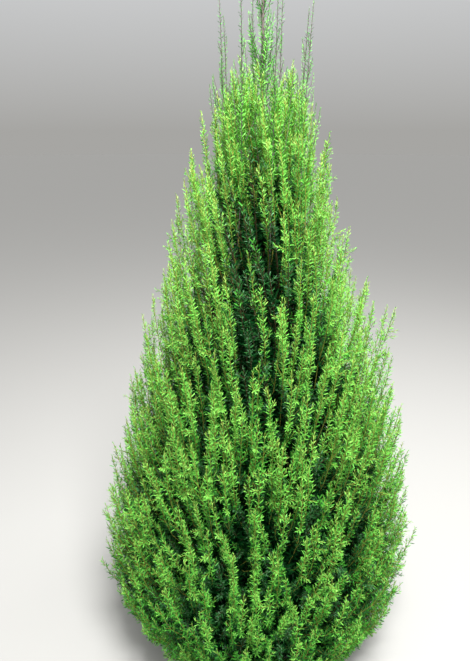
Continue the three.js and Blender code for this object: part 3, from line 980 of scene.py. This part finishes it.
def bark_material(bark):
    """Thin weathered scales over reddish bark, drawn out along the limb."""
    material, graph = new_material("yew bark")
    place = graph.node("ShaderNodeTexCoord", {}, {}, "Object")
    drawn = graph.node("ShaderNodeMapping", {}, {"Vector": place, "Scale": (1.0, 1.0, BARK_DRAW)})
    edges = {"feature": "DISTANCE_TO_EDGE"}
    scales = graph.node("ShaderNodeTexVoronoi", edges, {"Vector": drawn, "Scale": BARK_SCALES})
    grain = graph.node("ShaderNodeTexNoise", {}, {"Vector": drawn, "Scale": BARK_GRAINS, "Detail": 5.0})
    patches = graph.node("ShaderNodeTexNoise", {}, {"Vector": place, "Scale": BARK_PATCHES, "Detail": 3.0})
    height = scales * 2.2 + grain * 0.45
    worn = height * 0.8 + patches * 0.35
    pale_ridge = [PALE_RIDGE * c for c in bark.ridge]
    stops = [(0.25, bark.furrow), (0.62, bark.ridge), (0.95, pale_ridge)]
    colour = graph.node("ShaderNodeValToRGB", {"stops": stops}, {"Fac": worn})
    bump = graph.node("ShaderNodeBump", {}, {"Height": height, "Strength": 0.7, "Distance": BARK_BUMP})
    roughness = 0.92 - grain * 0.18
    young = (height_above_ground(graph, place) - YOUNG_WOOD_HEIGHT) * YOUNG_WOOD_FADE
    colours = {0: young, 6: colour, 7: opaque(bark.purple)}
    mixed = graph.node("ShaderNodeMix", {"data_type": "RGBA"}, colours, 2)
    surface(graph, {"Base Color": mixed, "Roughness": roughness, "Specular IOR Level": 0.1, "Normal": bump})
    return material


def needle_mesh(length, width):
    """One needle of two faces, nearly even in width, and folded a little along its middle."""
    half = NEEDLE_HALF * width
    fold = NEEDLE_FOLD * half
    low, high = [share * length for share in NEEDLE_CORNERS]
    outline = [(0.0, 0.0, 0.0), (half, -fold, low), (-half, -fold, high), (0.0, 0.0, length)]
    mesh = bpy.data.meshes.new("needle")
    mesh.from_pydata(outline, [], [(0, 1, 3), (0, 3, 2)])
    return mesh


def named(graph, name):
    """A number that the lines carry under a name."""
    return graph.node("GeometryNodeInputNamedAttribute", {"data_type": "FLOAT"}, {"Name": name})


def new_tree(name, inputs, tones):
    """A geometry tree with named inputs, the wires of those inputs by name, and its lines as a curve."""
    tree = bpy.data.node_groups.new(name, "GeometryNodeTree")
    sockets = {"Lines": "Geometry", **inputs, **{label: "Material" for _, label in tones}}
    for label, kind in sockets.items():
        tree.interface.new_socket(label, in_out="INPUT", socket_type=f"NodeSocket{kind}")
    tree.interface.new_socket("Grown", in_out="OUTPUT", socket_type="NodeSocketGeometry")
    graph = Graph(tree)
    start = graph.node("NodeGroupInput")
    wires = {label: start.other(label) for label in sockets}
    return graph, wires, graph.node("GeometryNodeMeshToCurve", {}, {"Mesh": wires["Lines"]})


def finished_tree(graph, geometry, tones, wires):
    """Ends a tree: everything gets the first tone's material, and then each other tone its own."""
    geometry = graph.node("GeometryNodeRealizeInstances", {}, {"Geometry": geometry})
    tone = named(graph, "tone")
    (_, first), *others = tones
    geometry = graph.node("GeometryNodeSetMaterial", {}, {"Geometry": geometry, "Material": wires[first]})
    for number, label in others:
        match = graph.node("ShaderNodeMath", {"operation": "COMPARE"}, {0: tone, 1: float(number), 2: 0.5})
        inputs = {"Geometry": geometry, "Selection": match, "Material": wires[label]}
        geometry = graph.node("GeometryNodeSetMaterial", {}, inputs)
    graph.node("NodeGroupOutput", {}, {"Grown": geometry})
    return graph.tree


def spun(graph, rotation, axis, angle):
    """A rotation with a turn about one of its own axes added."""
    turn = graph.node("FunctionNodeAxisAngleToRotation", {}, {"Axis": axis, "Angle": angle})
    inputs = {"Rotation": rotation, "Rotate By": turn}
    return graph.node("FunctionNodeRotateRotation", {"rotation_space": "LOCAL"}, inputs)


def spray_tree(name, tones):
    """Needles in a spiral along each line, tilted away from it."""
    inputs = {"Needle": "Object", "Turn": "Float", "Twist": "Float", "Unevenness": "Float", "Seed": "Int"}
    graph, wires, curve = new_tree(name, inputs, tones)
    steps = {"Curve": curve, "Length": named(graph, "spacing")}
    resampled = graph.node("GeometryNodeResampleCurve", {"mode": "LENGTH"}, steps)

    def random(salt):
        """A random number from -1 to 1 for each needle."""
        inputs = {2: -1.0, 3: 1.0, "Seed": wires["Seed"] + salt}
        return graph.node("FunctionNodeRandomValue", {"data_type": "FLOAT"}, inputs, 1)

    tangent = graph.node("GeometryNodeInputTangent")
    index = graph.node("GeometryNodeInputIndex")
    uneven = wires["Unevenness"]
    turn = index * wires["Turn"] + uneven * random(1)
    tilt = named(graph, "splay") * (1 + uneven * random(2))
    along = graph.node("FunctionNodeAlignRotationToVector", {"axis": "Z"}, {"Vector": tangent})
    turned = spun(graph, along, (0.0, 0.0, 1.0), turn)
    tilted = spun(graph, turned, (1.0, 0.0, 0.0), tilt)
    twisted = spun(graph, tilted, (0.0, 0.0, 1.0), wires["Twist"] * random(4))
    size = named(graph, "size") * (1 + uneven * random(3))
    source = {"Object": wires["Needle"], "As Instance": False}
    needle = graph.node("GeometryNodeObjectInfo", {}, source, "Geometry")
    places = {"Points": resampled, "Instance": needle, "Rotation": twisted, "Scale": size}
    sprays = graph.node("GeometryNodeInstanceOnPoints", {}, places)
    return finished_tree(graph, sprays, tones, wires)


def stem_tree(name, tones):
    """A round stem along each line, as thick as the line says."""
    graph, wires, curve = new_tree(name, {"Sides": "Int"}, tones)
    ring = graph.node("GeometryNodeCurvePrimitiveCircle", {}, {"Resolution": wires["Sides"], "Radius": 1.0})
    thickness = named(graph, "thickness")
    tube = {"Curve": curve, "Profile Curve": ring, "Scale": thickness, "Fill Caps": True}
    stems = graph.node("GeometryNodeCurveToMesh", {}, tube)
    smoothed = graph.node("GeometryNodeSetShadeSmooth", {}, {"Geometry": stems, "Shade Smooth": True})
    return finished_tree(graph, smoothed, tones, wires)


# What each kind of growth is made from: the labels of its tones, the numbers its lines carry, and its tree
KINDS = {
    "needles": (TONES, ("tone", "size", "splay", "spacing"), spray_tree),
    "stems": (STEM_TONES, ("tone", "thickness"), stem_tree),
}


def new_object(name, mesh):
    made = bpy.data.objects.new(name, mesh)
    bpy.context.collection.objects.link(made)
    return made


def lines_object(name, lines, labels):
    """Lines as loose edges, with the named numbers of their points."""
    counts = [len(line["points"]) for line in lines]
    edges = []
    first = 0
    for count in counts:
        edges += [(i, i + 1) for i in range(first, first + count - 1)]
        first += count
    mesh = bpy.data.meshes.new(name)
    mesh.from_pydata(np.vstack([line["points"] for line in lines]).tolist(), edges, [])
    for label in labels:
        column = np.concatenate([np.broadcast_to(line[label], n) for line, n in zip(lines, counts)])
        attribute = mesh.attributes.new(label, "FLOAT", "POINT")
        attribute.data.foreach_set("value", column.astype(np.float32))
    return new_object(name, mesh)


def apply_tree(piece, tree, values, labels):
    """Runs a geometry tree on an object and keeps the result as its plain mesh."""
    modifier = piece.modifiers.new(tree.name, "NODES")
    modifier.node_group = tree
    for item in tree.interface.items_tree:
        if item.item_type == "SOCKET" and item.in_out == "INPUT" and item.name in values:
            modifier[item.identifier] = values[item.name]
    depsgraph = bpy.context.evaluated_depsgraph_get()
    mesh = bpy.data.meshes.new_from_object(piece.evaluated_get(depsgraph), depsgraph=depsgraph)
    lines = piece.data
    piece.modifiers.remove(modifier)
    piece.data = mesh
    bpy.data.meshes.remove(lines)
    for label in labels:
        if label in mesh.attributes:
            mesh.attributes.remove(mesh.attributes[label])
    mesh.name = piece.name


def tone_materials(kind, tones, colours):
    """The materials of the tones, made once each."""
    materials = {}
    for label in tones:
        name = f"{label} {kind}"
        shine = colours.shine * (INNER_SHINE if label in INNER_LABELS else 1.0)
        found = bpy.data.materials.get(name)
        materials[label] = found or plain_material(name, getattr(colours, label), colours.roughness, shine)
    return materials


def grown_piece(name, kind, lines, colours, values):
    """Lines that have grown, made into one mesh of needles or of stems."""
    tone_labels, labels, make_tree = KINDS[kind]
    tones = [(number, tone_labels[number]) for number in sorted({line["tone"] for line in lines})]
    materials = tone_materials(kind, [label for _, label in tones], colours)
    if "Needle" in values:
        values["Needle"].data.materials.append(materials[tones[0][1]])
    piece = lines_object(name, lines, labels)
    apply_tree(piece, make_tree(f"{name} tree", tones), values | materials, labels)
    return piece


def masses_of(name):
    return [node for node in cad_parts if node.startswith(f"{name}_mass_")]


def finish_piece(piece, nodes):
    """Ties a finished piece to the tree's one body and hides the nodes that it stands for."""
    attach(piece, "root")
    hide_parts(*nodes)


def dress(name, crown, scene, nodes, seed):
    """Makes the stems and needles that a part of the crown has gathered."""
    stems = grown_piece(f"{name}_twigs", "stems", crown.stems, scene.yew_bark, {"Sides": STEM_SIDES})
    finish_piece(stems, nodes)
    sizes = scene.yew_crown
    for label, slot, tones in (
        ("inner_needles", "needles", INNER_TONES), ("outer_needles", "young_needles", OUTER_TONES)
    ):
        runs = [run for run in crown.runs if run["tone"] in tones]
        if runs:
            needle = new_object("needle", needle_mesh(sizes.needle_length, sizes.needle_width))
            values = {
                "Needle": needle,
                "Turn": sizes.needle_turn,
                "Twist": sizes.needle_twist,
                "Unevenness": sizes.needle_unevenness,
                "Seed": seed,
            }
            piece = grown_piece(f"{name}_{label}", "needles", runs, scene.yew_needles, values)
            bpy.data.objects.remove(needle)
            finish_piece(piece, nodes)


class YEW_OT_bark(bpy.types.Operator):
    """Make the trunk and the boughs with their bark relief"""

    bl_idname = "yew.bark"
    bl_label = "Trunk and boughs"

    TRUNK_SIDES = 32
    TRUNK_RINGS = 180
    BOUGH_SIDES = 12
    BOUGH_RINGS = 16
    RING_CROWDING = 1.5
    BOUGH_OVERLAP = 0.02
    BOUGH_RELIEF = 0.5

    def execute(self, context):
        self.vertices = []
        self.faces = []
        bark = context.scene.yew_bark
        self.trunk(bark.relief)
        for tier_index, tier in enumerate(TIERS):
            if tier["bough"]:
                for cell in cells(tier_index):
                    share = np.linspace(0.0, BOUGH_END + self.BOUGH_OVERLAP, self.BOUGH_RINGS)
                    line = growth_points(np.full(len(share), cell["label"]), cell["azimuth"], share)
                    self.bough(line, tier["bough"], bark.relief * self.BOUGH_RELIEF)
        mesh = bpy.data.meshes.new("trunk_and_boughs")
        mesh.from_pydata(self.vertices, [], self.faces)
        mesh.polygons.foreach_set("use_smooth", [True] * len(mesh.polygons))
        mesh.materials.append(bark_material(bark))
        piece = new_object("trunk_and_boughs", mesh)
        boughs = [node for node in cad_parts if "_bough_" in node]
        finish_piece(piece, ["trunk", *boughs])
        return {"FINISHED"}

    def ring(self, centre, across, up, radii):
        """Adds one ring of vertices."""
        turns = np.arange(len(radii)) * math.tau / len(radii)
        offsets = np.outer(radii * np.cos(turns), across) + np.outer(radii * np.sin(turns), up)
        self.vertices += (centre + offsets).tolist()

    def skin(self, first, sides, rings):
        """Adds the faces between rings and closes both ends."""
        for r in range(rings - 1):
            for s in range(sides):
                a = first + r * sides + s
                b = first + r * sides + (s + 1) % sides
                self.faces.append((a, b, b + sides, a + sides))
        self.faces.append(tuple(first + s for s in reversed(range(sides))))
        last = first + (rings - 1) * sides
        self.faces.append(tuple(last + s for s in range(sides)))

    def relief_at(self, point, depth):
        """How far the bark stands out at a point: long scales with furrows between them."""
        long_way = Vector(point * [BARK_SCALES, BARK_SCALES, BARK_SCALES_ALONG])
        return depth * (noise.fractal(long_way, 1.0, 2.1, 4) - 0.35 * abs(noise.noise(long_way * 0.6)))

    def trunk(self, depth):
        first = len(self.vertices)
        turns = np.arange(self.TRUNK_SIDES) * math.tau / self.TRUNK_SIDES
        for r in range(self.TRUNK_RINGS):
            height = HEIGHT * (r / (self.TRUNK_RINGS - 1)) ** self.RING_CROWDING
            centre = trunk_centre(height)
            lobes = 1 + FLARE_LOBE_DEPTH * np.cos(turns * FLARE_LOBES) * math.exp(-height / FLARE_HEIGHT)
            radii = trunk_radius(height) * lobes
            share = radii[0] / TRUNK_RADIUS
            for s, turn in enumerate(turns):
                point = centre + radii[s] * np.array([math.cos(turn), math.sin(turn), 0.0])
                radii[s] += self.relief_at(point, depth * min(share, 1.0))
            self.ring(centre, np.array([1.0, 0.0, 0.0]), np.array([0.0, 1.0, 0.0]), radii)
        self.skin(first, self.TRUNK_SIDES, self.TRUNK_RINGS)

    def bough(self, line, radius, depth):
        first = len(self.vertices)
        turns = np.arange(self.BOUGH_SIDES) * math.tau / self.BOUGH_SIDES
        for r, (centre, tangent) in enumerate(zip(line, tangents(line))):
            across = unit(np.cross(tangent, [0.0, 0.0, 1.0]))
            up = np.cross(across, tangent)
            around = np.full(self.BOUGH_SIDES, radius * mix(1.0, BOUGH_TAPER, r / (len(line) - 1)))
            for s, turn in enumerate(turns):
                point = centre + around[s] * (math.cos(turn) * across + math.sin(turn) * up)
                around[s] += self.relief_at(point, depth)
            self.ring(centre, up, across, around)
        self.skin(first, self.BOUGH_SIDES, len(line))


class YEW_OT_masses(bpy.types.Operator):
    """Grow the twigs and needles of every mass of the crown"""

    bl_idname = "yew.masses"
    bl_label = "Masses of the crown"

    def execute(self, context):
        for tier_index, tier in enumerate(TIERS):
            crown = Crown(context.scene.yew_crown)
            for cell in cells(tier_index):
                grow_cell(crown, tier, cell)
            grow_heart(crown, tier)
            dress(tier["name"], crown, context.scene, masses_of(tier["name"]), 10 * tier_index)
        return {"FINISHED"}


class YEW_OT_leaders(bpy.types.Operator):
    """Grow the leaders above the crown, with the rings of shoots round the trunk's tip"""

    bl_idname = "yew.leaders"
    bl_label = "Leaders"

    def execute(self, context):
        crown = Crown(context.scene.yew_crown)
        grow_leaders(crown)
        nodes = [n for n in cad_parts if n.startswith(("leader_foliage", "whorl_shoot"))]
        dress("leader", crown, context.scene, nodes, 90)
        return {"FINISHED"}


class YEW_OT_stage(bpy.types.Operator):
    """Set up the floor, the light and the camera"""

    bl_idname = "yew.stage"
    bl_label = "Stage"

    FLOOR_RADIUS = 40.0
    FLOOR_SIDES = 64
    FLOOR_ROUGHNESS = 0.9
    FLOOR_SHINE = 0.1
    SKY_STOPS = [(0.25, (0.6, 0.61, 0.62)), (0.75, (1.0, 1.0, 1.0))]

    # How bright the far floor looks beside its colour, which the horizon matches
    FLOOR_LIGHT = 0.917

    # Each lamp's place, its share of the softbox power, and its size
    LAMPS = {
        "overhead softbox": ((0.3, -1.3, 3.5), 1.0, 1.1),
        "rear softbox": ((2.0, 1.1, 3.2), 0.22, 1.6),
    }
    LAMP_TARGET = Vector((0.0, 0.0, 0.9))
    CAMERA_PLACE = (-0.073, -1.5, 1.6)
    CAMERA_PITCH = math.radians(20.5)
    CAMERA_LENS = 29.14
    SENSOR = 36.0

    def execute(self, context):
        settings = context.scene.yew_stage
        self.floor(settings.floor)
        self.sky(context.scene, settings)
        for name, (place, share, size) in self.LAMPS.items():
            self.lamp(name, Vector(place), settings.softbox * share, size)
        self.camera(context.scene)
        context.scene.view_settings.view_transform = "Standard"
        context.scene.view_settings.look = "None"
        return {"FINISHED"}

    def floor(self, colour):
        turns = np.linspace(0.0, math.tau, self.FLOOR_SIDES, endpoint=False)
        ring = [(self.FLOOR_RADIUS * math.cos(t), self.FLOOR_RADIUS * math.sin(t), 0.0) for t in turns]
        mesh = bpy.data.meshes.new("floor")
        mesh.from_pydata(ring, [], [tuple(range(len(ring)))])
        material = plain_material("pale floor", colour, self.FLOOR_ROUGHNESS, self.FLOOR_SHINE)
        mesh.materials.append(material)
        new_object("floor", mesh)

    def sky(self, scene, settings):
        """Soft light from all round, brighter overhead, and as bright at the horizon as the far floor."""
        horizon = [self.FLOOR_LIGHT * c for c in settings.floor]
        world = bpy.data.worlds.new("even sky")
        world.use_nodes = True
        world.node_tree.nodes.clear()
        graph = Graph(world.node_tree)
        direction = graph.node("ShaderNodeTexCoord", {}, {}, "Generated")
        height = height_above_ground(graph, direction)
        stops = [(0.0, horizon), *self.SKY_STOPS]
        level = graph.node("ShaderNodeValToRGB", {"stops": stops}, {"Fac": height})
        light = graph.node("ShaderNodeBackground", {}, {"Color": level, "Strength": settings.sky})
        graph.node("ShaderNodeOutputWorld", {}, {"Surface": light})
        scene.world = world

    def lamp(self, name, place, power, size):
        """A square lamp that faces the middle of the crown."""
        light = bpy.data.lights.new(name, "AREA")
        light.energy = power
        light.size = size
        lamp = new_object(name, light)
        lamp.location = place
        lamp.rotation_euler = (self.LAMP_TARGET - place).to_track_quat("-Z", "Y").to_euler()

    def camera(self, scene):
        data = bpy.data.cameras.new("camera")
        data.lens = self.CAMERA_LENS
        data.sensor_width = self.SENSOR
        camera = new_object("camera", data)
        camera.location = self.CAMERA_PLACE
        camera.rotation_euler = (math.radians(90) - self.CAMERA_PITCH, 0.0, 0.0)
        scene.camera = camera


class YEW_PT_panel(bpy.types.Panel):
    """Lists the sizes, the colours and the steps of the yew"""

    bl_idname = "YEW_PT_panel"
    bl_label = "Pyramidal yew"
    bl_space_type = "VIEW_3D"
    bl_region_type = "UI"
    bl_category = "Yew"

    def draw(self, context):
        for name, group in GROUPS.items():
            box = self.layout.box()
            for setting in group.__annotations__:
                box.prop(getattr(context.scene, name), setting)
        for operator in OPERATORS:
            self.layout.operator(operator.bl_idname)


GROUPS = {
    "yew_crown": YewCrownSettings,
    "yew_bark": YewBarkSettings,
    "yew_needles": YewNeedleColours,
    "yew_stage": YewStageSettings,
}
OPERATORS = (YEW_OT_stage, YEW_OT_bark, YEW_OT_masses, YEW_OT_leaders)


def register():
    for cls in (*GROUPS.values(), *OPERATORS, YEW_PT_panel):
        bpy.utils.register_class(cls)
    for name, group in GROUPS.items():
        setattr(bpy.types.Scene, name, bpy.props.PointerProperty(type=group))


def unregister():
    for name in GROUPS:
        delattr(bpy.types.Scene, name)
    for cls in (YEW_PT_panel, *reversed(OPERATORS), *reversed(tuple(GROUPS.values()))):
        bpy.utils.unregister_class(cls)


def main():
    register()
    bpy.ops.yew.stage()
    bpy.ops.yew.bark()
    bpy.ops.yew.masses()
    bpy.ops.yew.leaders()


if __name__ == "__main__":
    main()
